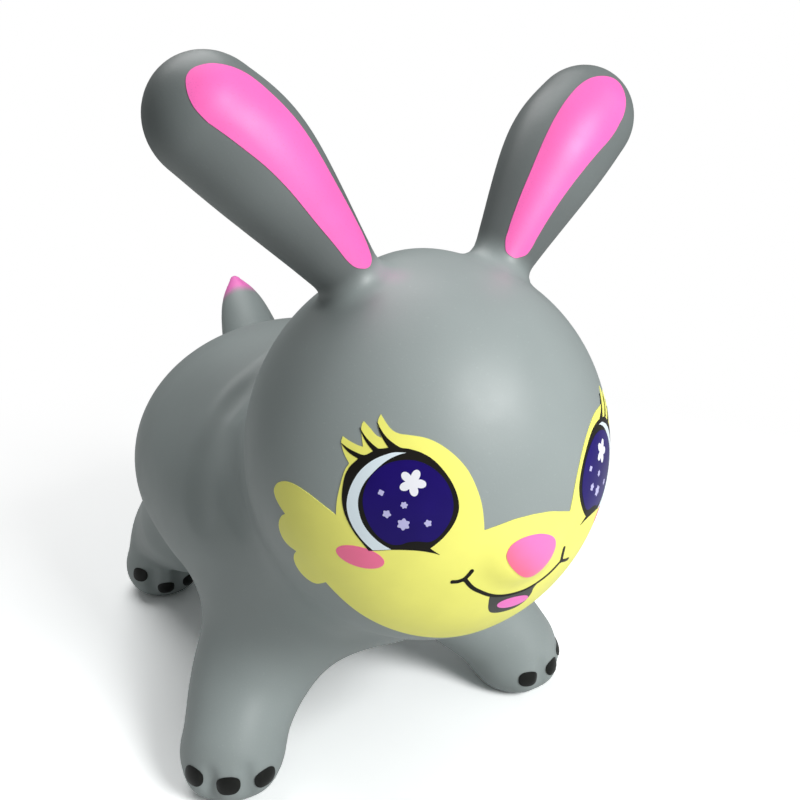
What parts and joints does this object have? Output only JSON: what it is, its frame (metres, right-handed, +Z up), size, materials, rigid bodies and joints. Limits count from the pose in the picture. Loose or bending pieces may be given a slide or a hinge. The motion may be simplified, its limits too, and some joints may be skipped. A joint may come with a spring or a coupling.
{
  "type": "animal hopper",
  "caption": "Air-filled rabbit hopper that a child sits on and bounces, with long ears to hold, splayed legs, a short pointed tail and a push-in air plug under the rump.",
  "frame": {"origin": "middle of the bounding box, on the floor under the soles", "axes": "+Z up; the rabbit faces -Y and its left side is at +X"},
  "size_m": [0.3554, 0.559, 0.5448],
  "materials": {
    "body_vinyl": "satin soft vinyl",
    "head_vinyl": "satin soft vinyl",
    "left_ear_vinyl": "satin soft vinyl",
    "right_ear_vinyl": "satin soft vinyl",
    "front_left_leg_vinyl": "satin soft vinyl",
    "front_right_leg_vinyl": "satin soft vinyl",
    "hind_left_leg_vinyl": "satin soft vinyl",
    "hind_right_leg_vinyl": "satin soft vinyl",
    "tail_vinyl": "satin soft vinyl",
    "plug_white": "satin"
  },
  "bodies": {
    "skin": {"body": "body_vinyl", "head": "head_vinyl", "left_ear": "left_ear_vinyl", "right_ear": "right_ear_vinyl", "front_left_leg": "front_left_leg_vinyl", "front_right_leg": "front_right_leg_vinyl", "hind_left_leg": "hind_left_leg_vinyl", "hind_right_leg": "hind_right_leg_vinyl", "tail": "tail_vinyl"},
    "plug": {"air_plug": "plug_white"}
  },
  "joints": [
    {"name": "plug_pull", "type": "slide", "parent": "skin", "child": "plug", "axis": [0, 0.6934, -0.7206], "range_m": [0, 0.035]}
  ]
}
